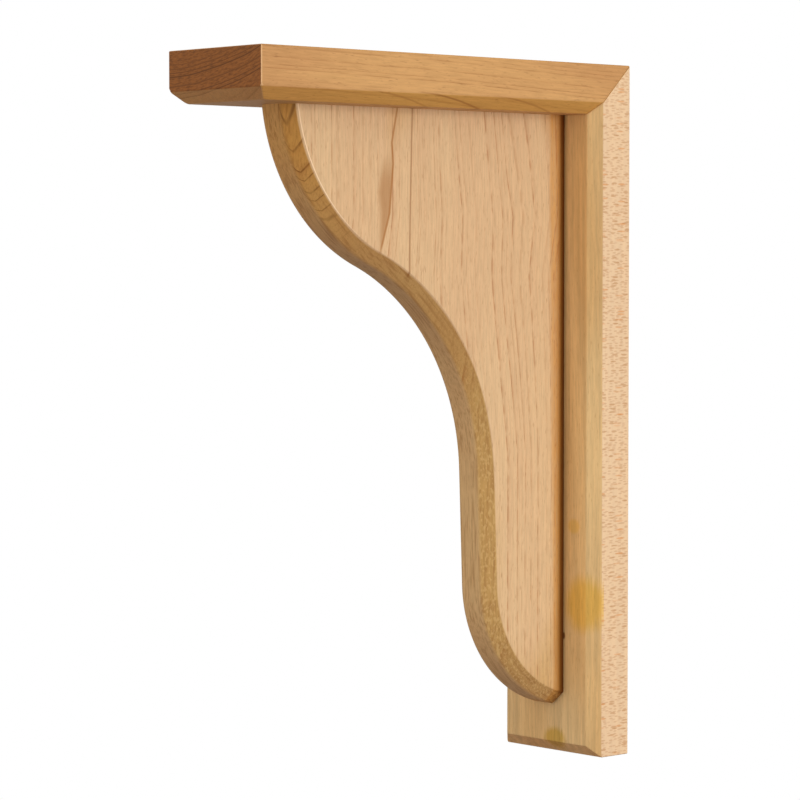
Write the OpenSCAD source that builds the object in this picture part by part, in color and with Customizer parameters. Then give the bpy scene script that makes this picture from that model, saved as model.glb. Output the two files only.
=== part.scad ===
// Wooden corbel bracket: an arm that carries a shelf or a counter, a back board
// against the wall, and a scrolled brace between the two.
// X runs across the width, the wall is the plane Y = 0, the bracket stands out
// towards -Y and Z is up. The origin is the middle of the face that lies on the wall.

/* [Boards] */
// Width of the arm and the back board
board_w = 70; // [56:1:90]
// Thickness of the arm and the back board
board_t = 25.4; // [20:0.1:32]
// Reach of the arm from the wall to its front end
arm_reach = 245; // [200:1:300]
// Height of the bracket on the wall
back_height = 356; // [295:1:430]
// Leg of the chamfer on the boards' inner edges and free ends
board_chamfer = 6; // [3:0.5:9]

/* [Brace] */
// Thickness of the brace
brace_t = 26; // [20:0.5:34]
// Leg of the chamfer along both sides of the brace's scrolled edge
brace_chamfer = 6.5; // [3:0.5:9]
// Distance from the arm's front end back to the brace, along the arm's underside
brace_setback = 34; // [20:1:45]
// Radius of the upper lobe
crest_r = 97; // [80:1:117]
// Lean of the upper lobe's edge where it meets the arm, in degrees
crest_lean = 7; // [0:1:12]
// Radius of the lower lobe
foot_r = 69; // [57:1:83]
// Distance that the lower lobe stands out from the back board
foot_reach = 54; // [45:1:65]
// Height of the brace's lower end above the foot of the back board
foot_rise = 25.5; // [15:0.5:40]
// Length of the straight run between the hollow and the lower lobe
neck_len = 59; // [40:1:72]
// Lean of that straight run's edge, in degrees
neck_lean = 2; // [0:0.5:4]

/* [Hidden] */

// Straight cuts along each arc of the scrolled edge
arc_cuts = 30;

// How far a cutting shape runs past the board that it cuts
over = 2;

// Colours of the clear-finished maple boards
arm_colour = "#d9a974";
back_colour = "#e3bd8c";
brace_colour = "#dfb488";

// Heights above the origin
top = back_height / 2;
foot = -back_height / 2;
arm_under = top - board_t;

// The scrolled edge is worked out in the plane of the bracket's side, as points
// [distance from the wall, height]. At each point the edge has a lean: 0 degrees
// where it runs straight down, 90 where it runs straight in towards the wall.
function outward(lean) = [cos(lean), -sin(lean)];
function downward(lean) = [-sin(lean), -cos(lean)];

// Lower lobe: its centre lies foot_reach out, at the height that brings its edge
// onto the back board at foot_rise
foot_out = board_t + foot_reach - foot_r;
foot_up = foot + foot_rise + sqrt(foot_r ^ 2 - (foot_r - foot_reach) ^ 2);
foot_c = [foot_out, foot_up];

// Straight neck, which leaves the top of the lower lobe
neck_top = foot_c + foot_r * outward(neck_lean) - neck_len * downward(neck_lean);

// Upper lobe: its edge meets the arm brace_setback behind the arm's front end
crest_c = [arm_reach - brace_setback, arm_under] - crest_r * outward(crest_lean);

// Hollow: the one arc that runs on from the neck and meets the upper lobe smoothly
span = neck_top - crest_c;
hollow_r = (span * span - crest_r ^ 2) / (2 * (crest_r - span * outward(neck_lean)));
hollow_c = neck_top + hollow_r * outward(neck_lean);
bend_lean = atan2(crest_c[1] - hollow_c[1], hollow_c[0] - crest_c[0]);

// Points on an arc about a centre. The radius is negative where the centre lies
// outside the brace.
function arc(centre, radius, from, to) =
    [for (i = [0 : arc_cuts]) centre + radius * outward(from + (to - from) * i / arc_cuts)];

// The scrolled edge, or a line beside it that lies inset into the brace, from the
// arm's underside to the back board's front, closed at the corner between the two
function outline(inset) = concat(
    arc(crest_c, crest_r - inset,
        asin((crest_c[1] - arm_under) / (crest_r - inset)), bend_lean),
    arc(hollow_c, -hollow_r - inset, bend_lean, neck_lean),
    arc(foot_c, foot_r - inset,
        neck_lean, acos((board_t - foot_c[0]) / (foot_r - inset))),
    [[board_t, arm_under]]
);

// Section of a board: its outer face is flat and its two inner edges are chamfered
module board_section() {
    half = board_w / 2;
    flat = half - board_chamfer;
    shoulder = board_t - board_chamfer;
    polygon([
        [-half, 0], [half, 0], [half, -shoulder],
        [flat, -board_t], [-flat, -board_t], [-half, -shoulder]
    ]);
}

// A shape drawn as [along the board, depth], cut right across the board's width
module cut_across() {
    translate([-board_w, 0, 0])
        rotate([90, 0, 90])
            linear_extrude(2 * board_w) children();
}

// Board that runs along +Y from its chamfered free end to a 45 degree mitre, with
// its outer face up at Z = 0. The length is that of the outer face.
module mitred_board(length) {
    chamfer_run = board_chamfer + over;
    mitre_run = board_t + over;
    difference() {
        rotate([-90, 0, 0])
            mirror([0, 1, 0])
                linear_extrude(length) board_section();
        cut_across()
            polygon([
                [-over, chamfer_run - board_t],
                [-over, -board_t - over],
                [chamfer_run, -board_t - over]
            ]);
        cut_across()
            translate([length, 0])
                polygon([[over, over], [over, -mitre_run], [-mitre_run, -mitre_run]]);
    }
}

// Horizontal board, under the shelf
module arm() {
    color(arm_colour)
        translate([0, -arm_reach, top]) mitred_board(arm_reach);
}

// Upright board, on the wall
module back_board() {
    color(back_colour)
        translate([0, 0, foot])
            rotate([90, 0, 0]) mirror([0, 0, 1]) mitred_board(back_height);
}

// Scrolled board, flat against the arm's underside and the back board's front. It
// is four outlines across its thickness, which the chamfers draw in at both sides.
// Each side is a fan of triangles about the corner between the arm and the wall.
module brace() {
    side = brace_t / 2;
    front = side - brace_chamfer;
    stations = [
        [-side, brace_chamfer], [-front, 0], [front, 0], [side, brace_chamfer]
    ];
    count = len(outline(0));
    corner = count - 1;
    far_side = (len(stations) - 1) * count;
    color(brace_colour)
        polyhedron(
            points = [for (s = stations) for (p = outline(s[1])) [s[0], -p[0], p[1]]],
            faces = concat(
                [for (i = [0 : corner - 2]) [i, i + 1, corner]],
                [for (s = [0 : count : far_side - 1]) for (i = [0 : corner])
                    let (next = (i + 1) % count)
                    [s + i, s + count + i, s + count + next, s + next]],
                [for (i = [0 : corner - 2]) [i + 1, i, corner] + far_side * [1, 1, 1]]
            )
        );
}

arm();
back_board();
brace();
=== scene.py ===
import math
import bpy
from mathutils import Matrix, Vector


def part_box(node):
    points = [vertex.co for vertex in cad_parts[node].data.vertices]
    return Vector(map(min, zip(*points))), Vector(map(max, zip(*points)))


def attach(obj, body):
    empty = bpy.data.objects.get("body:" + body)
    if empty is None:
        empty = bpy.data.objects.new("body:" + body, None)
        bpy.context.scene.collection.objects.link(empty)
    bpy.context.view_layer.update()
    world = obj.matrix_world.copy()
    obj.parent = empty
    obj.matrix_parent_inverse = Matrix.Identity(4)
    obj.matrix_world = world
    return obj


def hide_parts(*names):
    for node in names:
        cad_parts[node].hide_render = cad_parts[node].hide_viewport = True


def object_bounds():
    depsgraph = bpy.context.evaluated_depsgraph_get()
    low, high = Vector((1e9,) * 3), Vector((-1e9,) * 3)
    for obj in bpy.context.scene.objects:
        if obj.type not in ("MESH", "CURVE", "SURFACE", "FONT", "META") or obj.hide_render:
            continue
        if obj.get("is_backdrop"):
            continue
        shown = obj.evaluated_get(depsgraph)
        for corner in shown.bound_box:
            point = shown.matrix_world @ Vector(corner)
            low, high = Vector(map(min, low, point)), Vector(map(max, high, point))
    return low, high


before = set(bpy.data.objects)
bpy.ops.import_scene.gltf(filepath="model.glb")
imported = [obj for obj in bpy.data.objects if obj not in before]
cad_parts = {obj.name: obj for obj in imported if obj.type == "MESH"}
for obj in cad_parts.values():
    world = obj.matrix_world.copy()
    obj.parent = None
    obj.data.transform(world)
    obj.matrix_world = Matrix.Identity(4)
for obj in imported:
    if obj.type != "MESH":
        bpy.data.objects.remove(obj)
cad_low, cad_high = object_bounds()


# ---------------------------------------------------------------- studio
# A plain pale room: a white floor a counter's height below the bracket, an even
# warm surround that is dimmer below, a tall narrow soft box on the right, a little
# behind the wall's plane, so that the boards' sides are bright and the back board
# throws a thin shadow on the brace, and a low white card in front for the fronts.
floor_drop = 0.55
floor_size = 60.0
camera_place = Vector((1.1401, -1.1510, 0.0782))
camera_azimuth = 48.09
camera_pitch = 2.60
camera_lens = 138.7
box_azimuth = 105.0
box_elevation = 3.0
box_size = (0.55, 1.2)
box_watts = 28.0
card_azimuth = 4.0
card_elevation = -24.0
card_size = (0.9, 0.9)
card_watts = 42.0
lamp_distance = 2.5
surround_level = 0.78
surround_below = 0.30
surround_fade = (-0.6, 0.1)
box_colour, card_colour = "#fffaf4", "#fff9f0"
tint_below, tint_above = "#e6dae2", "#fff4e2"
white = "#ffffff"


def linear(hex_colour, alpha=1.0):
    """The linear colour of an sRGB hex value."""
    parts = [int(hex_colour[i:i + 2], 16) / 255 for i in (1, 3, 5)]
    return (*[p / 12.92 if p <= 0.04045 else ((p + 0.055) / 1.055) ** 2.4 for p in parts], alpha)


def add(tree, kind, settings=None, inputs=None):
    """Adds a node with its settings. An input is a value, or the socket that feeds it."""
    node = tree.nodes.new(kind)
    for name, value in (settings or {}).items():
        if name == "stops":
            ramp = node.color_ramp.elements
            while len(ramp) < len(value):
                ramp.new(1.0)
            for stop, (place, level) in zip(ramp, value):
                stop.position = place
                stop.color = level if isinstance(level, tuple) else (level, level, level, 1.0)
        else:
            setattr(node, name, value)
    for name, value in (inputs or {}).items():
        if isinstance(value, bpy.types.NodeSocket):
            tree.links.new(value, node.inputs[name])
        else:
            node.inputs[name].default_value = value
    return node


def new_material(name):
    """An empty node material and its tree."""
    material = bpy.data.materials.new(name)
    material.use_nodes = True
    material.node_tree.nodes.clear()
    return material, material.node_tree


def outwards(azimuth, elevation=0.0):
    """Direction from the bracket at an azimuth, counted as the camera's is."""
    a, e = math.radians(azimuth), math.radians(elevation)
    return Vector((math.sin(a) * math.cos(e), -math.cos(a) * math.cos(e), math.sin(e)))


def soft_lamp(name, azimuth, elevation, size, watts, colour):
    """A rectangular lamp that looks at the bracket."""
    lamp = bpy.data.lights.new(name, "AREA")
    lamp.shape = "RECTANGLE"
    lamp.size, lamp.size_y = size
    lamp.energy = watts
    lamp.color = linear(colour)[:3]
    holder = bpy.data.objects.new(name, lamp)
    bpy.context.scene.collection.objects.link(holder)
    way = outwards(azimuth, elevation)
    holder.location = (cad_low + cad_high) / 2 + way * lamp_distance
    holder.rotation_euler = way.to_track_quat("Z", "Y").to_euler()


camera = bpy.data.objects.new("camera", bpy.data.cameras.new("camera"))
bpy.context.scene.collection.objects.link(camera)
camera.data.lens = camera_lens
camera.data.clip_end = 200.0
camera.location = camera_place
camera.rotation_euler = outwards(camera_azimuth, camera_pitch).to_track_quat("Z", "Y").to_euler()
bpy.context.scene.camera = camera

soft_lamp("side_box", box_azimuth, box_elevation, box_size, box_watts, box_colour)
soft_lamp("front_card", card_azimuth, card_elevation, card_size, card_watts, card_colour)

# The surround lights the bracket warmly and dimly; the eye sees it as plain white.
world = bpy.data.worlds.new("studio_white")
bpy.context.scene.world = world
world.use_nodes = True
tree = world.node_tree
tree.nodes.clear()
way = add(tree, "ShaderNodeTexCoord").outputs["Generated"]
height = add(tree, "ShaderNodeSeparateXYZ", {}, {0: way}).outputs["Z"]
level = add(tree, "ShaderNodeMapRange", {"interpolation_type": "SMOOTHSTEP"},
            {"Value": height, "From Min": surround_fade[0], "From Max": surround_fade[1],
             "To Min": surround_below, "To Max": surround_level}).outputs[0]
tint = add(tree, "ShaderNodeMix", {"data_type": "RGBA"},
           {0: level, 6: linear(tint_below), 7: linear(tint_above)}).outputs[2]
lit = add(tree, "ShaderNodeBackground", {}, {"Color": tint, "Strength": level})
seen = add(tree, "ShaderNodeBackground", {}, {"Color": linear(white), "Strength": 1.0})
by_eye = add(tree, "ShaderNodeLightPath").outputs["Is Camera Ray"]
both = add(tree, "ShaderNodeMixShader", {}, {0: by_eye, 1: lit.outputs[0], 2: seen.outputs[0]})
add(tree, "ShaderNodeOutputWorld", {}, {"Surface": both.outputs[0]})
bpy.context.scene.view_settings.view_transform = "Standard"

bpy.ops.object.select_all(action="DESELECT")
bpy.ops.mesh.primitive_plane_add(size=floor_size, location=(0, 0, cad_low.z - floor_drop))
studio_floor = bpy.context.active_object
studio_floor.name = "studio_floor"
floor_paint, tree = new_material("lit_white_floor")
surface = add(tree, "ShaderNodeEmission", {}, {"Color": linear(white), "Strength": 1.0})
add(tree, "ShaderNodeOutputMaterial", {}, {"Surface": surface.outputs[0]})
studio_floor.data.materials.append(floor_paint)
studio_floor.visible_diffuse = False
studio_floor.visible_glossy = False
studio_floor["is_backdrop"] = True


# ---------------------------------------------------------------- arm
# The level board that the shelf lies on: planed hard maple, its two lower long
# edges and its front lower edge chamfered, every edge lightly sanded. Its wall end
# is cut at 45 degrees and glued to the back board.
board_chamfer = 0.006
sanded_edge = 0.0006
sanded_corner = 0.0015
mitre_normal = (0, 1, -1)
close = 1e-5
arm_pale, arm_warm = "#d3a469", "#c89760"
arm_late, arm_pore = "#9a6430", "#8a5a30"
arm_end, arm_end_late = "#a1652f", "#5e3714"
arm_bevel = "#f9f2ca"
# The pale colour of the painted highlight on the end's upright arrises.
arm_arris_highlight = "#f2c794"
arm_curves = ((-0.137, 0.7), (-0.172, 0.4), (-0.088, 0.45))
curve_height, curve_slope, curve_bend = 0.1586, 0.09, 2.2
# Lengths in the wood, such as a year's ring, a pore or a wander of the grain, are in millimetres.
arm_heart = (-30.0, -358.0)
arm_year = 2.7
arm_wander = 5.0
arm_tilt = 1.7
arm_ring_depth, arm_ring_dash = 0.52, 16
end_dash_stretch, end_dash_scale = 0.22, 1.3
grain_runout = 0.6
wander_across, wander_along = 70, 190
fibre_wide, fibre_long = 0.8, 11
pore_wide, pore_long = 0.55, 4.2
fibre_rough, fibre_smooth = 0.62, 0.48
relief_strength, relief_height = 0.35, 0.00012
wood_ior, wood_shine = 1.5, 0.25
sharp_from, smooth_below = 20, 30
millimetres = 1000


def start_board(name, low, high):
    """A plain block between two corners, in edit mode with nothing selected."""
    bpy.ops.object.select_all(action="DESELECT")
    bpy.ops.mesh.primitive_cube_add(size=1, location=(low + high) / 2)
    board = bpy.context.active_object
    board.name = board.data.name = name
    board.scale = high - low
    bpy.ops.object.transform_apply(location=True, rotation=True, scale=True)
    bpy.ops.object.mode_set(mode="EDIT")
    bpy.ops.mesh.select_mode(type="EDGE")
    bpy.ops.mesh.select_all(action="DESELECT")
    return board


def pick_edges(piece, wanted):
    """Selects the edges for which wanted(first end, second end, middle) is true."""
    bpy.ops.mesh.select_all(action="DESELECT")
    bpy.ops.object.mode_set(mode="OBJECT")
    points = piece.data.vertices
    for edge in piece.data.edges:
        a, b = (points[i].co for i in edge.vertices)
        edge.select = wanted(a, b, (a + b) / 2)
    bpy.ops.object.mode_set(mode="EDIT")


def pick_corners(piece, wanted):
    """Selects the corners for which wanted(place) is true."""
    bpy.ops.mesh.select_mode(type="VERT")
    bpy.ops.mesh.select_all(action="DESELECT")
    bpy.ops.object.mode_set(mode="OBJECT")
    for point in piece.data.vertices:
        point.select = wanted(point.co)
    bpy.ops.object.mode_set(mode="EDIT")


def on_mitre(point):
    """True for a point on the plane where the arm and the back board meet."""
    return abs(point.y - (point.z - cad_high.z)) < close


def ease_edges(piece, width, kept):
    """Rounds the sharp edges lightly, apart from those with both ends in a kept place."""
    bpy.ops.mesh.select_mode(type="EDGE")
    bpy.ops.mesh.select_all(action="DESELECT")
    bpy.ops.mesh.edges_select_sharp(sharpness=math.radians(sharp_from))
    bpy.ops.object.mode_set(mode="OBJECT")
    points = piece.data.vertices
    for edge in piece.data.edges:
        if all(kept(points[i].co) for i in edge.vertices):
            edge.select = False
    bpy.ops.object.mode_set(mode="EDIT")
    bpy.ops.mesh.bevel(offset=width, offset_type="OFFSET", segments=3, affect="EDGES")


def finish_piece(piece, node, material):
    """Smooths the shading, and tells the frame what the piece stands for."""
    bpy.ops.mesh.select_all(action="SELECT")
    bpy.ops.mesh.remove_doubles(threshold=close / 10)
    bpy.ops.mesh.normals_make_consistent(inside=False)
    bpy.ops.object.mode_set(mode="OBJECT")
    bpy.ops.object.shade_smooth_by_angle(angle=math.radians(smooth_below))
    even = piece.modifiers.new("even_faces", "WEIGHTED_NORMAL")
    even.keep_sharp = True
    bpy.ops.object.modifier_apply(modifier=even.name)
    piece.data.materials.clear()
    piece.data.materials.append(material)
    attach(piece, "root")
    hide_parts(node)


def grain_place(tree, turn, heart, wander):
    """Millimetres about the tree's heart, with Z along the grain, which wanders a little."""
    here = add(tree, "ShaderNodeTexCoord").outputs["Object"]
    place = add(tree, "ShaderNodeMapping", {}, {
        "Vector": here, "Scale": (millimetres, millimetres, millimetres), "Rotation": turn,
        "Location": (-heart[0], -heart[1], 0)}).outputs[0]
    slow = add(tree, "ShaderNodeVectorMath", {"operation": "MULTIPLY"},
               {0: place, 1: (1 / wander_across, 1 / wander_across, 1 / wander_along)}).outputs[0]
    drift = add(tree, "ShaderNodeTexNoise", {},
                {"Vector": slow, "Scale": 1, "Detail": 2}).outputs["Color"]
    drift = add(tree, "ShaderNodeVectorMath", {"operation": "SUBTRACT"},
                {0: drift, 1: (0.5, 0.5, 0.5)}).outputs[0]
    drift = add(tree, "ShaderNodeVectorMath", {"operation": "MULTIPLY"},
                {0: drift, 1: (wander, wander, 0)}).outputs[0]
    return add(tree, "ShaderNodeVectorMath", {}, {0: place, 1: drift}).outputs[0]


def from_heart(tree, place):
    """Distance from the tree's heart across the grain, in millimetres."""
    across = add(tree, "ShaderNodeVectorMath", {"operation": "MULTIPLY"},
                 {0: place, 1: (1, 1, 0)}).outputs[0]
    return add(tree, "ShaderNodeVectorMath", {"operation": "LENGTH"}, {0: across}).outputs["Value"]


def growth_rings(tree, distance, year):
    """Late wood with each year's strength, the year's shade, and late wood at full strength."""
    years = add(tree, "ShaderNodeMath", {"operation": "DIVIDE"}, {0: distance, 1: year}).outputs[0]
    wobble = add(tree, "ShaderNodeTexNoise", {"noise_dimensions": "1D"},
                 {"W": years, "Scale": 0.37, "Detail": 1}).outputs[0]
    years = add(tree, "ShaderNodeMath", {"operation": "MULTIPLY_ADD"},
                {0: wobble, 1: 2.2, 2: years}).outputs[0]
    season = add(tree, "ShaderNodeMath", {"operation": "FRACT"}, {0: years}).outputs[0]
    late = add(tree, "ShaderNodeValToRGB", {"stops": [
        (0.0, 0.55), (0.07, 0.0), (0.50, 0.0), (0.80, 0.28), (0.93, 1.0), (1.0, 0.75)]},
        {0: season}).outputs[0]
    number = add(tree, "ShaderNodeMath", {"operation": "FLOOR"}, {0: years}).outputs[0]
    shade = add(tree, "ShaderNodeTexWhiteNoise", {"noise_dimensions": "1D"},
                {"W": number}).outputs[0]
    strength = add(tree, "ShaderNodeMapRange", {}, {
        "Value": shade, "From Min": 0.2, "From Max": 0.85, "To Min": 0.12}).outputs[0]
    uneven = add(tree, "ShaderNodeMath", {"operation": "MULTIPLY"},
                 {0: late, 1: strength}).outputs[0]
    return uneven, shade, late


def streaks(tree, place, width, length, detail=2.0):
    """Noise drawn out along the grain, its marks that many millimetres wide and long."""
    scaled = add(tree, "ShaderNodeVectorMath", {"operation": "MULTIPLY"},
                 {0: place, 1: (1 / width, 1 / width, 1 / length)}).outputs[0]
    return add(tree, "ShaderNodeTexNoise", {},
               {"Vector": scaled, "Scale": 1, "Detail": detail, "Roughness": 0.55}).outputs[0]


def facing(tree, direction, low, high):
    """A mask of how far a face looks along a direction, either way."""
    normal = add(tree, "ShaderNodeNewGeometry").outputs["Normal"]
    turned = add(tree, "ShaderNodeVectorMath", {"operation": "DOT_PRODUCT"},
                 {0: normal, 1: direction}).outputs["Value"]
    turned = add(tree, "ShaderNodeMath", {"operation": "ABSOLUTE"}, {0: turned}).outputs[0]
    return add(tree, "ShaderNodeMapRange", {"interpolation_type": "SMOOTHSTEP"},
               {"Value": turned, "From Min": low, "From Max": high}).outputs[0]


def bare_maple(tree, place, late, shade, colours, ring_depth, dash):
    """The colour of sanded maple: pale wood, late wood, fine fibres and pores."""
    pale, warm, late_wood, pore = colours
    patch = streaks(tree, place, 26, 150, 1.0)
    tone = add(tree, "ShaderNodeMath", {"operation": "MULTIPLY_ADD"},
               {0: shade, 1: 0.12, 2: patch}).outputs[0]
    tone = add(tree, "ShaderNodeMapRange", {"interpolation_type": "SMOOTHSTEP"},
               {"Value": tone, "From Min": 0.38, "From Max": 0.74}).outputs[0]
    wood = add(tree, "ShaderNodeMix", {"data_type": "RGBA"},
               {0: tone, 6: linear(pale), 7: linear(warm)}).outputs[2]
    broken = streaks(tree, place, 2.2, dash, 1.0)
    broken = add(tree, "ShaderNodeMapRange", {}, {
        "Value": broken, "From Min": 0.36, "From Max": 0.6, "To Min": 0.1}).outputs[0]
    ring = add(tree, "ShaderNodeMath", {"operation": "MULTIPLY"}, {0: late, 1: broken}).outputs[0]
    ring = add(tree, "ShaderNodeMath", {"operation": "MULTIPLY"},
               {0: ring, 1: ring_depth}).outputs[0]
    wood = add(tree, "ShaderNodeMix", {"data_type": "RGBA"},
               {0: ring, 6: wood, 7: linear(late_wood)}).outputs[2]
    # Real maple fibres are a tenth of this width; they are drawn as coarse as they need to show.
    fibre = streaks(tree, place, fibre_wide, fibre_long, 3.0)
    lift = add(tree, "ShaderNodeMapRange", {}, {
        "Value": fibre, "From Min": 0.3, "From Max": 0.7,
        "To Min": 0.91, "To Max": 1.08}).outputs[0]
    wood = add(tree, "ShaderNodeMix", {"data_type": "RGBA", "blend_type": "MULTIPLY"},
               {0: 1.0, 6: wood, 7: lift}).outputs[2]
    # Pores are 0.1 mm wide and a few millimetres long, and are widened too.
    pores = streaks(tree, place, pore_wide, pore_long, 1.0)
    pores = add(tree, "ShaderNodeMapRange", {}, {
        "Value": pores, "From Min": 0.62, "From Max": 0.78, "To Max": 0.45}).outputs[0]
    wood = add(tree, "ShaderNodeMix", {"data_type": "RGBA"},
               {0: pores, 6: wood, 7: linear(pore)}).outputs[2]
    return wood, fibre, pores


def sanded_surface(tree, colour, fibre, pores):
    """Sanded bare wood: barely glossy, its fibres and pores just felt."""
    rough = add(tree, "ShaderNodeMapRange", {}, {
        "Value": fibre, "From Min": 0.3, "From Max": 0.7,
        "To Min": fibre_rough, "To Max": fibre_smooth}).outputs[0]
    relief = add(tree, "ShaderNodeMath", {"operation": "SUBTRACT"},
                 {0: fibre, 1: pores}).outputs[0]
    bump = add(tree, "ShaderNodeBump", {}, {
        "Height": relief, "Strength": relief_strength, "Distance": relief_height}).outputs[0]
    surface = add(tree, "ShaderNodeBsdfPrincipled", {}, {
        "Base Color": colour, "Roughness": rough, "Normal": bump,
        "IOR": wood_ior, "Specular IOR Level": wood_shine}).outputs[0]
    add(tree, "ShaderNodeOutputMaterial", {}, {"Surface": surface})


# Hard maple, plain sawn and sanded bare: golden tan, its year rings fine brown lines along
# the side and slanting dark bands on the end grain, which drinks in light and looks brown.
arm_maple, tree = new_material("hard_maple_sanded_arm")
place = grain_place(tree, (math.radians(90 + arm_tilt), 0, math.radians(grain_runout)),
                    arm_heart, arm_wander)
late, shade, _ = growth_rings(tree, from_heart(tree, place), arm_year)
wood, fibre, pores = bare_maple(tree, place, late, shade,
                                (arm_pale, arm_warm, arm_late, arm_pore),
                                arm_ring_depth, arm_ring_dash)
# The side chamfers cut the rings at a slant, and are a little yellower.
bevel = facing(tree, (0, 0, 1), 0.25, 0.6)
beside = facing(tree, (1, 0, 0), 0.3, 0.6)
bevel = add(tree, "ShaderNodeMath", {"operation": "MULTIPLY"}, {0: bevel, 1: beside}).outputs[0]
wood = add(tree, "ShaderNodeMix", {"data_type": "RGBA", "blend_type": "MULTIPLY"},
           {0: bevel, 6: wood, 7: linear(arm_bevel)}).outputs[2]
end = facing(tree, (0, 1, 0), 0.52, 0.98)
# Between the rings the end grain is full of short dark dashes that run with them.
across = add(tree, "ShaderNodeSeparateXYZ", {}, {0: place}).outputs["X"]
dash = add(tree, "ShaderNodeMath", {"operation": "MULTIPLY"},
           {0: across, 1: end_dash_stretch}).outputs[0]
dash = add(tree, "ShaderNodeCombineXYZ", {}, {0: dash, 1: from_heart(tree, place)}).outputs[0]
dash = add(tree, "ShaderNodeTexNoise", {},
           {"Vector": dash, "Scale": end_dash_scale, "Detail": 2}).outputs[0]
dash = add(tree, "ShaderNodeMapRange", {}, {
    "Value": dash, "From Min": 0.42, "From Max": 0.66, "To Max": 0.6}).outputs[0]
dash = add(tree, "ShaderNodeMath", {"operation": "MAXIMUM"}, {0: dash, 1: late}).outputs[0]
end_late = add(tree, "ShaderNodeMix", {"data_type": "RGBA"},
               {0: dash, 6: linear(arm_end), 7: linear(arm_end_late)}).outputs[2]
wood = add(tree, "ShaderNodeMix", {"data_type": "RGBA"}, {0: end, 6: wood, 7: end_late}).outputs[2]
# Three years' rings cross the side chamfers in long curves, where the saw left the tree's line.
plain = add(tree, "ShaderNodeTexCoord").outputs["Object"]
plain = add(tree, "ShaderNodeSeparateXYZ", {}, {0: plain})
for start, strength in arm_curves:
    past = add(tree, "ShaderNodeMath", {"operation": "SUBTRACT"},
               {0: plain.outputs["Y"], 1: start}).outputs[0]
    fall = add(tree, "ShaderNodeMath", {"operation": "MULTIPLY_ADD"},
               {0: past, 1: curve_bend, 2: curve_slope}).outputs[0]
    fall = add(tree, "ShaderNodeMath", {"operation": "MULTIPLY"}, {0: fall, 1: past}).outputs[0]
    off = add(tree, "ShaderNodeMath", {}, {0: plain.outputs["Z"], 1: fall}).outputs[0]
    off = add(tree, "ShaderNodeMath", {"operation": "SUBTRACT"},
              {0: off, 1: curve_height}).outputs[0]
    off = add(tree, "ShaderNodeMath", {"operation": "ABSOLUTE"}, {0: off}).outputs[0]
    curve = add(tree, "ShaderNodeMapRange", {"interpolation_type": "SMOOTHSTEP"}, {
        "Value": off, "From Min": 0.0006, "From Max": 0.0001, "To Max": strength}).outputs[0]
    begun = add(tree, "ShaderNodeMapRange", {}, {
        "Value": past, "From Min": -0.012, "From Max": 0.004}).outputs[0]
    curve = add(tree, "ShaderNodeMath", {"operation": "MULTIPLY"}, {0: curve, 1: begun}).outputs[0]
    wood = add(tree, "ShaderNodeMix", {"data_type": "RGBA"},
               {0: curve, 6: wood, 7: linear(arm_late)}).outputs[2]
# A painted highlight runs down the upright arrises of the end.
end_arris_highlight = facing(tree, (0.7071, -0.7071, 0), 0.80, 0.97)
end_arris_highlight_too = facing(tree, (0.7071, 0.7071, 0), 0.80, 0.97)
end_arris_highlight = add(tree, "ShaderNodeMath", {"operation": "MAXIMUM"},
             {0: end_arris_highlight, 1: end_arris_highlight_too}).outputs[0]
wood = add(tree, "ShaderNodeMix", {"data_type": "RGBA"},
           {0: end_arris_highlight, 6: wood, 7: linear(arm_arris_highlight)}).outputs[2]
sanded_surface(tree, wood, fibre, pores)

arm_low, arm_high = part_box("arm")
arm = start_board("arm_board", arm_low, arm_high)
pick_edges(arm, lambda a, b, middle: abs(middle.z - arm_low.z) < close
           and (abs(abs(middle.x) - arm_high.x) < close or abs(middle.y - arm_low.y) < close))
bpy.ops.mesh.bevel(offset=board_chamfer, offset_type="OFFSET", segments=1, affect="EDGES")
bpy.ops.mesh.select_all(action="SELECT")
bpy.ops.mesh.bisect(plane_co=(0, 0, cad_high.z), plane_no=mitre_normal,
                    use_fill=True, clear_outer=True)
pick_corners(arm, lambda p: p.y < arm_low.y + board_chamfer + close
             and p.z < arm_low.z + board_chamfer + close)
bpy.ops.mesh.bevel(offset=sanded_corner, offset_type="OFFSET", segments=1, affect="VERTICES")
ease_edges(arm, sanded_edge, on_mitre)
finish_piece(arm, "arm", arm_maple)


# ---------------------------------------------------------------- back board
# The upright board that lies on the wall: the same planed maple, its two front
# long edges and its front lower edge chamfered, and its top cut to the mitre.
back_pale, back_warm = "#e7c68f", "#dfb87e"
back_late, back_pore = "#cf9c5e", "#b98750"
back_bevel, back_low_bevel = "#f4f4f4", "#ead9cd"
back_edge_pale = "#f0d5b5"
# Each ray's cell length and height in millimetres, its share of the cell, its rarity and colour.
back_rays = ((3.6, 1.05, 0.46, 0.08, "#cda27a"), (8.0, 1.9, 0.33, 0.35, "#bf8c5c"),
             (13.0, 2.2, 0.27, 0.66, "#d98a3a"))
# Painted shade on the front in the corner beside the brace: its colour and strength, the distances
# from the middle where it begins and is full, and the heights where it fades in above the foot.
joint_shade_brown, joint_shade_strength = "#94683a", 0.4
joint_shade_beside, joint_shade_foot = (0.0160, 0.0125), (-0.149, -0.143)
front_skin = (-0.018, -0.0185)
# Each spot's place across and up, its half width and half height, its strength and colour.
glue_spots = ((0.0203, -0.059, 0.0045, 0.004, 0.6, "#fdeea0"),
              (0.0265, -0.099, 0.0125, 0.0150, 0.9, "#fdeea0"),
              (0.0065, -0.1705, 0.0080, 0.0060, 0.95, "#e5da92"),
              (0.0131, -0.1163, 0.0011, 0.0019, 0.95, "#7a5638"))
back_heart = (10.0, 150.0)
back_year = 3.4
back_wander = 6.0
back_ring_depth, back_ring_dash = 0.4, 16
back_band_wide, back_band_long = 3.2, 90
back_band_dark, back_band_light = 0.90, 1.11
back_edge_mix = 0.72

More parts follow.
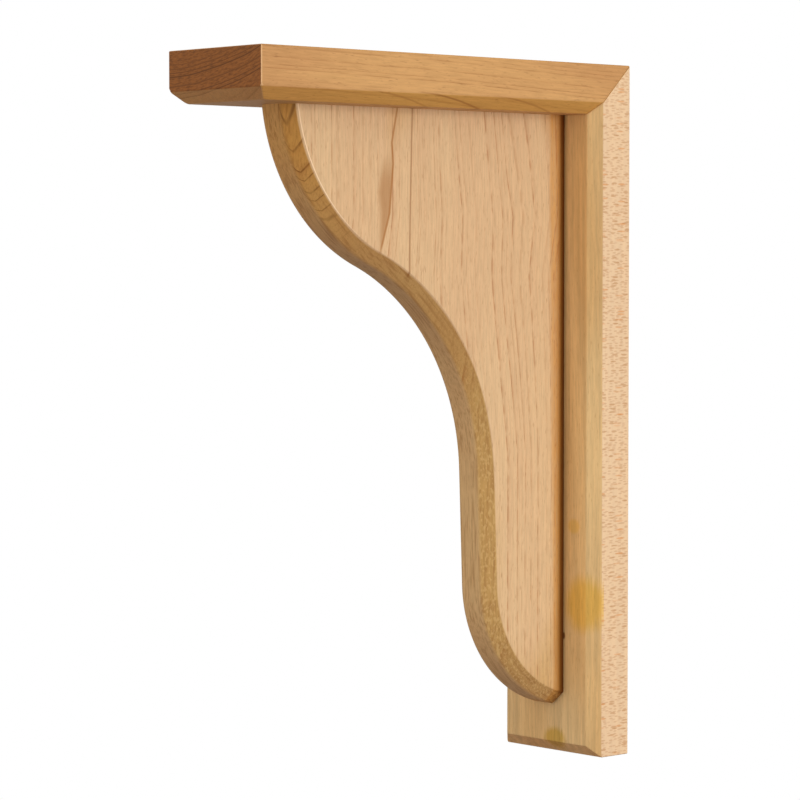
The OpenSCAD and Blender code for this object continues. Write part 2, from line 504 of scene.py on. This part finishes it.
# Hard maple again: its front face is the flat-sawn side of the tree, golden with soft upright
# streaks, and its edges are quarter-sawn, paler, and peppered with the flecks of the rays.
back_maple, tree = new_material("hard_maple_sanded_back")
place = grain_place(tree, (0, math.radians(grain_runout), 0), back_heart, back_wander)
late, shade, _ = growth_rings(tree, from_heart(tree, place), back_year)
wood, fibre, pores = bare_maple(tree, place, late, shade,
                                (back_pale, back_warm, back_late, back_pore),
                                back_ring_depth, back_ring_dash)
bands = streaks(tree, place, back_band_wide, back_band_long)
bands = add(tree, "ShaderNodeMapRange", {}, {
    "Value": bands, "From Min": 0.35, "From Max": 0.65,
    "To Min": back_band_dark, "To Max": back_band_light}).outputs[0]
wood = add(tree, "ShaderNodeMix", {"data_type": "RGBA", "blend_type": "MULTIPLY"},
           {0: 1.0, 6: wood, 7: bands}).outputs[2]
# The chamfers cut the rings at a slant and look a little darker, the low one redder too.
for way, tint in (((1, 0, 0), back_bevel), ((0, 0, 1), back_low_bevel)):
    bevel = facing(tree, way, 0.35, 0.65)
    wood = add(tree, "ShaderNodeMix", {"data_type": "RGBA", "blend_type": "MULTIPLY"},
               {0: bevel, 6: wood, 7: linear(tint)}).outputs[2]
edge = facing(tree, (1, 0, 0), 0.75, 0.97)
edge_wood = add(tree, "ShaderNodeMix", {"data_type": "RGBA"},
                {0: back_edge_mix, 6: wood, 7: linear(back_edge_pale)}).outputs[2]
wood = add(tree, "ShaderNodeMix", {"data_type": "RGBA"},
           {0: edge, 6: wood, 7: edge_wood}).outputs[2]
# Rays are flat ribbons that run from the heart outwards: on a quarter-sawn edge they show as
# short level dashes a millimetre high. Small ones are specks, and a few wide ones are redder.
parts = add(tree, "ShaderNodeSeparateXYZ", {}, {0: place})
edge_plane = add(tree, "ShaderNodeCombineXYZ", {},
                 {0: parts.outputs["Y"], 1: parts.outputs["Z"]}).outputs[0]
for reach, height, size, rare, colour in back_rays:
    cells = add(tree, "ShaderNodeMapping", {}, {
        "Vector": edge_plane, "Scale": (1 / reach, 1 / height, 1)}).outputs[0]
    ray = add(tree, "ShaderNodeTexVoronoi", {"voronoi_dimensions": "2D"},
              {"Vector": cells, "Scale": 1})
    chance = add(tree, "ShaderNodeSeparateXYZ", {}, {0: ray.outputs["Color"]}).outputs[0]
    chance = add(tree, "ShaderNodeMapRange", {}, {
        "Value": chance, "From Min": rare, "From Max": rare + 0.35, "To Max": 0.55}).outputs[0]
    spot = add(tree, "ShaderNodeMapRange", {"interpolation_type": "SMOOTHSTEP"}, {
        "Value": ray.outputs["Distance"], "From Min": size, "From Max": size / 2}).outputs[0]
    spot = add(tree, "ShaderNodeMath", {"operation": "MULTIPLY"}, {0: spot, 1: chance}).outputs[0]
    spot = add(tree, "ShaderNodeMath", {"operation": "MULTIPLY"}, {0: spot, 1: edge}).outputs[0]
    wood = add(tree, "ShaderNodeMix", {"data_type": "RGBA"},
               {0: spot, 6: wood, 7: linear(colour)}).outputs[2]
# Old glue has yellowed the front in three places and left a dark speck in the joint. Beside the
# brace the front is darkened with painted shade, where the corner between the two is in shadow.
plain = add(tree, "ShaderNodeTexCoord").outputs["Object"]
plain = add(tree, "ShaderNodeSeparateXYZ", {}, {0: plain})
front = add(tree, "ShaderNodeMapRange", {}, {
    "Value": plain.outputs["Y"], "From Min": front_skin[0], "From Max": front_skin[1]}).outputs[0]
for side_place, height, half_wide, half_high, strength, colour in glue_spots:
    aside = add(tree, "ShaderNodeMath", {"operation": "SUBTRACT"},
                {0: plain.outputs["X"], 1: side_place}).outputs[0]
    aside = add(tree, "ShaderNodeMath", {"operation": "DIVIDE"},
                {0: aside, 1: half_wide}).outputs[0]
    up = add(tree, "ShaderNodeMath", {"operation": "SUBTRACT"},
             {0: plain.outputs["Z"], 1: height}).outputs[0]
    up = add(tree, "ShaderNodeMath", {"operation": "DIVIDE"}, {0: up, 1: half_high}).outputs[0]
    spot = add(tree, "ShaderNodeCombineXYZ", {}, {0: aside, 1: up}).outputs[0]
    spot = add(tree, "ShaderNodeVectorMath", {"operation": "LENGTH"}, {0: spot}).outputs["Value"]
    spot = add(tree, "ShaderNodeMath", {"operation": "MULTIPLY_ADD"},
               {0: fibre, 1: 0.5, 2: spot}).outputs[0]
    spot = add(tree, "ShaderNodeMapRange", {"interpolation_type": "SMOOTHSTEP"}, {
        "Value": spot, "From Min": 1.45, "From Max": 0.85, "To Max": strength}).outputs[0]
    spot = add(tree, "ShaderNodeMath", {"operation": "MULTIPLY"}, {0: spot, 1: front}).outputs[0]
    wood = add(tree, "ShaderNodeMix", {"data_type": "RGBA", "blend_type": "MULTIPLY"},
               {0: spot, 6: wood, 7: linear(colour)}).outputs[2]
# Painted shade in the corner beside the brace.
beside = add(tree, "ShaderNodeMath", {"operation": "ABSOLUTE"}, {0: plain.outputs["X"]}).outputs[0]
beside = add(tree, "ShaderNodeMapRange", {"interpolation_type": "SMOOTHSTEP"}, {
    "Value": beside, "From Min": joint_shade_beside[0], "From Max": joint_shade_beside[1],
    "To Max": joint_shade_strength}).outputs[0]
foot = add(tree, "ShaderNodeMapRange", {}, {
    "Value": plain.outputs["Z"], "From Min": joint_shade_foot[0], "From Max": joint_shade_foot[1]}).outputs[0]
beside = add(tree, "ShaderNodeMath", {"operation": "MULTIPLY"}, {0: beside, 1: foot}).outputs[0]
beside = add(tree, "ShaderNodeMath", {"operation": "MULTIPLY"}, {0: beside, 1: front}).outputs[0]
wood = add(tree, "ShaderNodeMix", {"data_type": "RGBA"},
           {0: beside, 6: wood, 7: linear(joint_shade_brown)}).outputs[2]
sanded_surface(tree, wood, fibre, pores)

back_low, back_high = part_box("back_board")
back = start_board("back_board_board", back_low, back_high)
pick_edges(back, lambda a, b, middle: abs(middle.y - back_low.y) < close
           and (abs(abs(middle.x) - back_high.x) < close or abs(middle.z - back_low.z) < close))
bpy.ops.mesh.bevel(offset=board_chamfer, offset_type="OFFSET", segments=1, affect="EDGES")
bpy.ops.mesh.select_all(action="SELECT")
bpy.ops.mesh.bisect(plane_co=(0, 0, cad_high.z), plane_no=mitre_normal,
                    use_fill=True, clear_inner=True)
ease_edges(back, sanded_edge, on_mitre)
finish_piece(back, "back_board", back_maple)


# ---------------------------------------------------------------- brace
# The scrolled board between the two: sawn from one maple board with its grain
# upright, chamfered along both sides of the scrolled edge, sanded, and glued to
# the middle of the arm's underside and the back board's front.
crest_radius, crest_lean = 0.097, 7.0
foot_radius, foot_reach = 0.069, 0.054
neck_length, neck_lean = 0.059, 2.0
brace_chamfer = 0.0065
glued_edge = 0.0004
foot_round = 0.0028
side_edge = 0.0006
front_edge = 0.0014
arc_steps = 48
brace_pale, brace_warm = "#e0c095", "#dcb98f"
brace_late, brace_pore = "#b07040", "#a0663a"
brace_front, brace_bevel = "#faf4e1", "#e7dec1"
brace_top, brace_fleck = "#f8e6c0", "#dfbd80"
brace_strip, brace_run = "#a3733f", "#94642f"
grain_lean = 47.0
brace_end, brace_chevron = "#b98a5a", "#7d5426"
# Heights in the wood are millimetres above the bracket's middle, depths millimetres off the wall.
brace_year = 3.5
brace_wander = 3.0
brace_ring_depth, brace_ring_dash = 0.76, 8
strip_wide, strip_long = 1.2, 22
run_wide, run_long = 1.3, 30
chevron_slope = 0.45
chevron_middle = 8.7
crossing_rise, chevron_rise = (70, 100), (88, 108)
top_rise, fleck_rise = (70, 130), (40, -20)
lean_rise, lean_most = (-20, 155), 22
lean_depth, lean_span = ((0.0, 0.0), (0.12, 0.0), (0.27, 1.0), (0.42, 1.0), (0.56, 0.0)), 245
near_front, on_scroll_face = (5.5, 7.5), (12.9, 12.3)
end_share = 0.5
streak_brown, streak_edge = "#b38352", "#aa7034"
streak_rise, streak_depth, streak_swing, streak_widest = (80, 155), 140, 15, 9
streak_path = ((0.04, 0.81), (0.28, 0.43), (0.60, 0.27), (0.74, 0.33), (0.96, 0.10))
streak_widths = ((0.0, 0.0), (0.12, 0.30), (0.28, 0.68), (0.42, 0.95), (0.60, 0.80), (0.75, 0.2))
heart_line, heart_depth, heart_lean, heart_rise = "#935c2c", 133.4, 2.0, (60, 68)
# The pale colour of the painted highlight along the scroll's arrises.
brace_arris_highlight = "#ffe3bd"
joint_orange = "#f4deb4"
joint_rise, joint_wide = (-140, 115), (7.6, 11.0)
# Two layers of painted shade that deepen towards the back board: where each begins and where it is
# full, in millimetres off the wall, and its colour.
joint_painted_shade = ((7.0, 2.2, "#ceb36c"), (4.0, 0.4, "#a28a68"))


def outward(lean):
    """Direction out of the scrolled edge where it leans that many degrees from upright."""
    return Vector((0, -math.cos(math.radians(lean)), -math.sin(math.radians(lean))))


def sweep(centre, degrees):
    """Carries the selected corner round a centre in the plane of the brace's side."""
    bpy.ops.mesh.spin(steps=arc_steps, angle=math.radians(degrees), center=centre, axis=(-1, 0, 0))


brace_low, brace_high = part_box("brace")
side = brace_low.x

# Hard maple, sanded bare: pinkish tan, its rings upright lines on the sides. Near the top they
# run into the chamfers as chevrons, and the wood is browner where the scroll cuts the grain.
brace_maple, tree = new_material("hard_maple_sanded_brace")
place = grain_place(tree, (0, 0, 0), (0.0, 0.0), brace_wander)
parts = add(tree, "ShaderNodeSeparateXYZ", {}, {0: place})
across = add(tree, "ShaderNodeMath", {"operation": "ABSOLUTE"}, {0: parts.outputs["X"]}).outputs[0]
depth = add(tree, "ShaderNodeMath", {"operation": "MULTIPLY"},
            {0: parts.outputs["Y"], 1: -1}).outputs[0]
rise = parts.outputs["Z"]
flat = millimetres * (brace_high.x - brace_chamfer)
bevelled = add(tree, "ShaderNodeMath", {"operation": "SUBTRACT"}, {0: across, 1: flat}).outputs[0]
bevelled = add(tree, "ShaderNodeMath", {"operation": "MAXIMUM"}, {0: bevelled, 1: 0}).outputs[0]
crossing = add(tree, "ShaderNodeMapRange", {}, {
    "Value": rise, "From Min": crossing_rise[0], "From Max": crossing_rise[1]}).outputs[0]
bevelled = add(tree, "ShaderNodeMath", {"operation": "MULTIPLY"},
               {0: bevelled, 1: crossing}).outputs[0]
chevron = add(tree, "ShaderNodeMath", {"operation": "SUBTRACT"},
              {0: across, 1: chevron_middle}).outputs[0]
chevron = add(tree, "ShaderNodeMath", {"operation": "ABSOLUTE"}, {0: chevron}).outputs[0]
chevron = add(tree, "ShaderNodeMath", {"operation": "MULTIPLY"},
              {0: chevron, 1: crossing}).outputs[0]
ring_at = add(tree, "ShaderNodeMath", {}, {0: depth, 1: bevelled}).outputs[0]
ring_at = add(tree, "ShaderNodeMath", {"operation": "MULTIPLY_ADD"},
              {0: chevron, 1: -chevron_slope, 2: ring_at}).outputs[0]
# Near the top the rings between the middle and the back lean over as they rise.
leaning = add(tree, "ShaderNodeMapRange", {}, {
    "Value": rise, "From Min": lean_rise[0], "From Max": lean_rise[1],
    "To Max": lean_most}).outputs[0]
where = add(tree, "ShaderNodeMath", {"operation": "DIVIDE"}, {0: depth, 1: lean_span}).outputs[0]
where = add(tree, "ShaderNodeValToRGB", {"stops": lean_depth}, {0: where}).outputs[0]
leaning = add(tree, "ShaderNodeMath", {"operation": "MULTIPLY"}, {0: leaning, 1: where}).outputs[0]
ring_at = add(tree, "ShaderNodeMath", {"operation": "SUBTRACT"},
              {0: ring_at, 1: leaning}).outputs[0]
late, shade, every = growth_rings(tree, ring_at, brace_year)
# The narrow front shows the rings edge on, too faint to see.
on_front = add(tree, "ShaderNodeMapRange", {}, {
    "Value": across, "From Min": near_front[0], "From Max": near_front[1]}).outputs[0]
late = add(tree, "ShaderNodeMath", {"operation": "MULTIPLY"}, {0: late, 1: on_front}).outputs[0]
# Where the scroll slopes, the cut spreads the rings too wide to see.
upright = facing(tree, (0, 0, 1), 0.60, 0.30)
late = add(tree, "ShaderNodeMath", {"operation": "MULTIPLY"}, {0: late, 1: upright}).outputs[0]
wood, fibre, pores = bare_maple(tree, place, late, shade,
                                (brace_pale, brace_warm, brace_late, brace_pore),
                                brace_ring_depth, brace_ring_dash)

# The scroll's chamfers and front cut the fibres at a slant: the wood there is more golden. High
# up its rings are thin dark chevrons, and low down the rays show as short pale flecks.
scroll = add(tree, "ShaderNodeMapRange", {"interpolation_type": "SMOOTHSTEP"}, {
    "Value": across, "From Min": on_scroll_face[0], "From Max": on_scroll_face[1]}).outputs[0]
cut = add(tree, "ShaderNodeMapRange", {"interpolation_type": "SMOOTHSTEP"}, {
    "Value": across, "From Min": near_front[0], "From Max": near_front[1]}).outputs[0]
cut = add(tree, "ShaderNodeMath", {"operation": "MULTIPLY"}, {0: cut, 1: scroll}).outputs[0]
wood = add(tree, "ShaderNodeMix", {"data_type": "RGBA", "blend_type": "MULTIPLY"},
           {0: scroll, 6: wood, 7: linear(brace_front)}).outputs[2]
wood = add(tree, "ShaderNodeMix", {"data_type": "RGBA", "blend_type": "MULTIPLY"},
           {0: cut, 6: wood, 7: linear(brace_bevel)}).outputs[2]
strip = add(tree, "ShaderNodeMapRange", {}, {
    "Value": streaks(tree, place, strip_wide, strip_long),
    "From Min": 0.50, "From Max": 0.66, "To Max": 0.5}).outputs[0]
strip = add(tree, "ShaderNodeMath", {"operation": "MULTIPLY"}, {0: strip, 1: scroll}).outputs[0]
strip = add(tree, "ShaderNodeMath", {"operation": "MULTIPLY"}, {0: strip, 1: upright}).outputs[0]
wood = add(tree, "ShaderNodeMix", {"data_type": "RGBA"},
           {0: strip, 6: wood, 7: linear(brace_strip)}).outputs[2]
# Between the lobe and the hollow the cut runs along the grain, which shows as long streaks.
leaning_place = add(tree, "ShaderNodeMapping", {}, {
    "Vector": place, "Rotation": (math.radians(-grain_lean), 0, 0)}).outputs[0]
run = add(tree, "ShaderNodeMapRange", {}, {
    "Value": streaks(tree, leaning_place, run_wide, run_long),
    "From Min": 0.48, "From Max": 0.66, "To Max": 0.62}).outputs[0]
run = add(tree, "ShaderNodeMath", {"operation": "MULTIPLY"}, {0: run, 1: scroll}).outputs[0]
sloping = add(tree, "ShaderNodeMath", {"operation": "SUBTRACT"}, {0: 1, 1: upright}).outputs[0]
run = add(tree, "ShaderNodeMath", {"operation": "MULTIPLY"}, {0: run, 1: sloping}).outputs[0]
wood = add(tree, "ShaderNodeMix", {"data_type": "RGBA"},
           {0: run, 6: wood, 7: linear(brace_run)}).outputs[2]
top = add(tree, "ShaderNodeMapRange", {}, {
    "Value": rise, "From Min": top_rise[0], "From Max": top_rise[1]}).outputs[0]
top = add(tree, "ShaderNodeMath", {"operation": "MULTIPLY"}, {0: top, 1: scroll}).outputs[0]
wood = add(tree, "ShaderNodeMix", {"data_type": "RGBA", "blend_type": "MULTIPLY"},
           {0: top, 6: wood, 7: linear(brace_top)}).outputs[2]
# The more a cut slants, the more of it is brown end grain.
slanting = facing(tree, (0, 0, 1), 0.15, 0.95)
slanting = add(tree, "ShaderNodeMath", {"operation": "MULTIPLY"},
               {0: slanting, 1: end_share}).outputs[0]
wood = add(tree, "ShaderNodeMix", {"data_type": "RGBA"},
           {0: slanting, 6: wood, 7: linear(brace_end)}).outputs[2]
cut_ring = add(tree, "ShaderNodeMapRange", {}, {
    "Value": every, "From Min": 0.5, "From Max": 0.95, "To Max": 0.8}).outputs[0]
patchy = add(tree, "ShaderNodeMapRange", {}, {
    "Value": streaks(tree, place, 3, 9, 1.0),
    "From Min": 0.38, "From Max": 0.58, "To Min": 0.5}).outputs[0]
cut_ring = add(tree, "ShaderNodeMath", {"operation": "MULTIPLY"},
               {0: cut_ring, 1: patchy}).outputs[0]
high = add(tree, "ShaderNodeMapRange", {}, {
    "Value": rise, "From Min": chevron_rise[0], "From Max": chevron_rise[1],
    "To Min": 0.12}).outputs[0]
cut_ring = add(tree, "ShaderNodeMath", {"operation": "MULTIPLY"},
               {0: cut_ring, 1: high}).outputs[0]
cut_ring = add(tree, "ShaderNodeMath", {"operation": "MULTIPLY"}, {0: cut_ring, 1: cut}).outputs[0]
wood = add(tree, "ShaderNodeMix", {"data_type": "RGBA"},
           {0: cut_ring, 6: wood, 7: linear(brace_chevron)}).outputs[2]
fleck = add(tree, "ShaderNodeVectorMath", {"operation": "MULTIPLY"},
            {0: place, 1: (0.9, 0.9, 0.45)}).outputs[0]
fleck = add(tree, "ShaderNodeTexNoise", {}, {"Vector": fleck, "Scale": 1, "Detail": 1}).outputs[0]
fleck = add(tree, "ShaderNodeMapRange", {}, {
    "Value": fleck, "From Min": 0.50, "From Max": 0.66, "To Max": 0.55}).outputs[0]
fleck = add(tree, "ShaderNodeMath", {"operation": "MULTIPLY"}, {0: fleck, 1: cut}).outputs[0]
low_down = add(tree, "ShaderNodeMapRange", {}, {
    "Value": rise, "From Min": fleck_rise[0], "From Max": fleck_rise[1]}).outputs[0]
fleck = add(tree, "ShaderNodeMath", {"operation": "MULTIPLY"}, {0: fleck, 1: low_down}).outputs[0]
wood = add(tree, "ShaderNodeMix", {"data_type": "RGBA"},
           {0: fleck, 6: wood, 7: linear(brace_fleck)}).outputs[2]

# A painted highlight runs along the arris between each side and its chamfer, strongest near the
# top.
arris = facing(tree, (1, 0, 0), 0.84, 0.90)
arris_end = facing(tree, (1, 0, 0), 0.999, 0.965)
arris = add(tree, "ShaderNodeMath", {"operation": "MULTIPLY"}, {0: arris, 1: arris_end}).outputs[0]
arris = add(tree, "ShaderNodeMath", {"operation": "MULTIPLY"}, {0: arris, 1: high}).outputs[0]
wood = add(tree, "ShaderNodeMix", {"data_type": "RGBA"},
           {0: arris, 6: wood, 7: linear(brace_arris_highlight)}).outputs[2]

# A mineral streak on the right-hand side: a thin rusty line down from the arm that widens to a
# soft brown patch, and beside it one ring that is darker than the others.
right = add(tree, "ShaderNodeMapRange", {}, {
    "Value": parts.outputs["X"], "From Min": 11, "From Max": 12}).outputs[0]
level = add(tree, "ShaderNodeMapRange", {}, {
    "Value": rise, "From Min": streak_rise[0], "From Max": streak_rise[1]}).outputs[0]
line = add(tree, "ShaderNodeValToRGB", {"stops": streak_path}, {0: level}).outputs[0]
line = add(tree, "ShaderNodeMath", {"operation": "MULTIPLY_ADD"},
           {0: line, 1: streak_swing, 2: streak_depth}).outputs[0]
beyond = add(tree, "ShaderNodeMath", {"operation": "SUBTRACT"}, {0: depth, 1: line}).outputs[0]
width = add(tree, "ShaderNodeValToRGB", {"stops": streak_widths}, {0: level}).outputs[0]
width = add(tree, "ShaderNodeMath", {"operation": "MULTIPLY"},
            {0: width, 1: streak_widest}).outputs[0]
inner = add(tree, "ShaderNodeMapRange", {"interpolation_type": "SMOOTHSTEP"}, {
    "Value": beyond, "From Min": -0.6, "From Max": 0.6}).outputs[0]
left = add(tree, "ShaderNodeMath", {"operation": "SUBTRACT"}, {0: width, 1: beyond}).outputs[0]
outer = add(tree, "ShaderNodeMapRange", {"interpolation_type": "SMOOTHSTEP"}, {
    "Value": left, "From Min": -1.5, "From Max": 2.4, "To Max": 0.74}).outputs[0]
fading = add(tree, "ShaderNodeMapRange", {"interpolation_type": "SMOOTHSTEP"}, {
    "Value": level, "From Min": 0.74, "From Max": 0.46}).outputs[0]
outer = add(tree, "ShaderNodeMath", {"operation": "MULTIPLY"}, {0: outer, 1: fading}).outputs[0]
patch = add(tree, "ShaderNodeMath", {"operation": "MULTIPLY"}, {0: inner, 1: outer}).outputs[0]
patch = add(tree, "ShaderNodeMath", {"operation": "MULTIPLY"}, {0: patch, 1: right}).outputs[0]
wood = add(tree, "ShaderNodeMix", {"data_type": "RGBA"},
           {0: patch, 6: wood, 7: linear(streak_brown)}).outputs[2]
near = add(tree, "ShaderNodeMath", {"operation": "ABSOLUTE"}, {0: beyond}).outputs[0]
thin = add(tree, "ShaderNodeMapRange", {"interpolation_type": "SMOOTHSTEP"}, {
    "Value": near, "From Min": 0.95, "From Max": 0.25, "To Max": 0.75}).outputs[0]
above = add(tree, "ShaderNodeMapRange", {}, {
    "Value": level, "From Min": 0.0, "From Max": 0.08}).outputs[0]
thin = add(tree, "ShaderNodeMath", {"operation": "MULTIPLY"}, {0: thin, 1: above}).outputs[0]
thin = add(tree, "ShaderNodeMath", {"operation": "MULTIPLY"}, {0: thin, 1: right}).outputs[0]
wood = add(tree, "ShaderNodeMix", {"data_type": "RGBA"},
           {0: thin, 6: wood, 7: linear(streak_edge)}).outputs[2]
ring_line = add(tree, "ShaderNodeMath", {"operation": "MULTIPLY_ADD"},
                {0: level, 1: heart_lean, 2: -heart_depth}).outputs[0]
ring_line = add(tree, "ShaderNodeMath", {}, {0: depth, 1: ring_line}).outputs[0]
ring_line = add(tree, "ShaderNodeMath", {"operation": "ABSOLUTE"}, {0: ring_line}).outputs[0]
ring_line = add(tree, "ShaderNodeMapRange", {"interpolation_type": "SMOOTHSTEP"}, {
    "Value": ring_line, "From Min": 0.75, "From Max": 0.2, "To Max": 0.6}).outputs[0]
ring_line = add(tree, "ShaderNodeMath", {"operation": "MULTIPLY"},
                {0: ring_line, 1: right}).outputs[0]
above = add(tree, "ShaderNodeMapRange", {}, {
    "Value": rise, "From Min": heart_rise[0], "From Max": heart_rise[1]}).outputs[0]
ring_line = add(tree, "ShaderNodeMath", {"operation": "MULTIPLY"},
                {0: ring_line, 1: above}).outputs[0]
wood = add(tree, "ShaderNodeMix", {"data_type": "RGBA"},
           {0: ring_line, 6: wood, 7: linear(heart_line)}).outputs[2]

# Along the glue joint the wood is more orange for about a centimetre, and over the last few
# millimetres it is darkened with painted shade, where the corner against the back board is in
# shadow.
plain = add(tree, "ShaderNodeTexCoord").outputs["Object"]
plain = add(tree, "ShaderNodeSeparateXYZ", {}, {0: plain})
off_wall = add(tree, "ShaderNodeMath", {"operation": "MULTIPLY"},
               {0: plain.outputs["Y"], 1: -millimetres}).outputs[0]
off_wall = add(tree, "ShaderNodeMath", {"operation": "SUBTRACT"},
               {0: off_wall, 1: -millimetres * brace_high.y}).outputs[0]
band = add(tree, "ShaderNodeMapRange", {}, {
    "Value": rise, "From Min": joint_rise[0], "From Max": joint_rise[1],
    "To Min": joint_wide[0], "To Max": joint_wide[1]}).outputs[0]
band = add(tree, "ShaderNodeMath", {"operation": "SUBTRACT"}, {0: band, 1: off_wall}).outputs[0]
band = add(tree, "ShaderNodeMapRange", {"interpolation_type": "SMOOTHSTEP"}, {
    "Value": band, "From Min": -0.9, "From Max": 1.7, "To Max": 0.85}).outputs[0]
grained = add(tree, "ShaderNodeMapRange", {}, {
    "Value": fibre, "From Min": 0.35, "From Max": 0.6, "To Min": 0.7, "To Max": 1.2}).outputs[0]
band = add(tree, "ShaderNodeMath", {"operation": "MULTIPLY"}, {0: band, 1: grained}).outputs[0]
wood = add(tree, "ShaderNodeMix", {"data_type": "RGBA", "blend_type": "MULTIPLY"},
           {0: band, 6: wood, 7: linear(joint_orange)}).outputs[2]
on_side = add(tree, "ShaderNodeMapRange", {}, {
    "Value": across, "From Min": 11.0, "From Max": 12.6, "To Min": 0.25}).outputs[0]
# Painted shade in the corner against the back board.
for starts, ends, colour in joint_painted_shade:
    corner_shade = add(tree, "ShaderNodeMapRange", {}, {
        "Value": off_wall, "From Min": starts, "From Max": ends}).outputs[0]
    corner_shade = add(tree, "ShaderNodeMath", {"operation": "MULTIPLY"},
                {0: corner_shade, 1: on_side}).outputs[0]
    wood = add(tree, "ShaderNodeMix", {"data_type": "RGBA", "blend_type": "MULTIPLY"},
               {0: corner_shade, 6: wood, 7: linear(colour)}).outputs[2]
sanded_surface(tree, wood, fibre, pores)

# The two lobes' centres follow from the board's corners, and the neck leaves the lower lobe
# without a kink. The hollow's arc is the one that meets the neck and the upper lobe smoothly.
foot_centre = Vector((
    side, brace_high.y - foot_reach + foot_radius,
    brace_low.z + math.sqrt(foot_radius ** 2 - (foot_radius - foot_reach) ** 2)))
neck_low = foot_centre + foot_radius * outward(neck_lean)
neck_up = Vector((0, -math.sin(math.radians(neck_lean)), math.cos(math.radians(neck_lean))))
neck_top = neck_low + neck_length * neck_up
crest_start = Vector((side, brace_low.y, brace_high.z))
crest_centre = crest_start - crest_radius * outward(crest_lean)
span = neck_top - crest_centre
hollow_radius = ((span.length_squared - crest_radius ** 2)
                 / (2 * (crest_radius - span.dot(outward(neck_lean)))))
hollow_centre = neck_top + hollow_radius * outward(neck_lean)
bend = hollow_centre - crest_centre
bend_lean = math.degrees(math.atan2(-bend.z, -bend.y))
foot_end = Vector((side, brace_high.y, brace_low.z)) - foot_centre
foot_end_lean = math.degrees(math.atan2(-foot_end.z, -foot_end.y))

# The outline is drawn by one point: round the upper lobe and the hollow, down the neck, round
# the lower lobe and up along the wall. It is then closed, and given the board's thickness.
bpy.ops.object.select_all(action="DESELECT")
bpy.ops.mesh.primitive_plane_add(size=0.001, location=crest_start)
brace = bpy.context.active_object
brace.name = brace.data.name = "scrolled_brace"
bpy.ops.object.transform_apply(location=True, rotation=True, scale=True)
bpy.ops.object.mode_set(mode="EDIT")
bpy.ops.mesh.select_mode(type="VERT")
bpy.ops.mesh.select_all(action="SELECT")
bpy.ops.mesh.merge(type="CENTER")
sweep(crest_centre, bend_lean - crest_lean)
sweep(hollow_centre, neck_lean - bend_lean)
bpy.ops.mesh.extrude_region_move(TRANSFORM_OT_translate={"value": neck_low - neck_top})
sweep(foot_centre, foot_end_lean - neck_lean)
bpy.ops.mesh.extrude_region_move(
    TRANSFORM_OT_translate={"value": (0, 0, brace_high.z - brace_low.z)})
bpy.ops.mesh.select_all(action="SELECT")
bpy.ops.mesh.edge_face_add()
bpy.ops.mesh.extrude_region_move(
    TRANSFORM_OT_translate={"value": (brace_high.x - brace_low.x, 0, 0)})
bpy.ops.mesh.select_mode(type="EDGE")


def on_scroll(a, b, middle):
    """True for the scrolled edge's two long rows of edges, one on each side."""
    across = abs(a.x - b.x) > close
    glued = abs(a.z - b.z) < close and abs(middle.z - brace_high.z) < close
    against_back = abs(a.y - b.y) < close and abs(middle.y - brace_high.y) < close
    return not (across or glued or against_back)


def at_foot(a, b, middle):
    """True for the three edges at the back board that go round under the lower lobe."""
    return (abs(a.y - brace_high.y) < close and abs(b.y - brace_high.y) < close
            and middle.z < brace_low.z + brace_chamfer)


def beside_back(a, b, middle):
    """True for the brace's two upright edges at the back board."""
    return (abs(abs(middle.x) - brace_high.x) < close and abs(middle.y - brace_high.y) < close
            and abs(a.z - b.z) > brace_chamfer)


def on_arris(from_middle):
    """Picks the long edges of the chamfers that lie that far from the brace's middle."""
    def wanted(a, b, middle):
        along = abs(a.x - b.x) < close and abs(a.z - b.z) > close
        inside = (abs(middle.y - brace_high.y) > 1.5 * foot_round
                  and abs(middle.z - brace_high.z) > close)
        return along and inside and abs(abs(middle.x) - from_middle) < close
    return wanted


pick_edges(brace, on_scroll)
bpy.ops.mesh.bevel(offset=brace_chamfer, offset_type="OFFSET", segments=1, affect="EDGES")
pick_edges(brace, at_foot)
bpy.ops.mesh.bevel(offset=foot_round, offset_type="OFFSET", segments=3, affect="EDGES")
pick_edges(brace, beside_back)
bpy.ops.mesh.bevel(offset=glued_edge, offset_type="OFFSET", segments=2, affect="EDGES")
pick_edges(brace, on_arris(brace_high.x))
bpy.ops.mesh.bevel(offset=side_edge, offset_type="OFFSET", segments=2, affect="EDGES")
pick_edges(brace, on_arris(brace_high.x - brace_chamfer))
bpy.ops.mesh.bevel(offset=front_edge, offset_type="OFFSET", segments=3, affect="EDGES")
finish_piece(brace, "brace", brace_maple)


low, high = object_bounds()
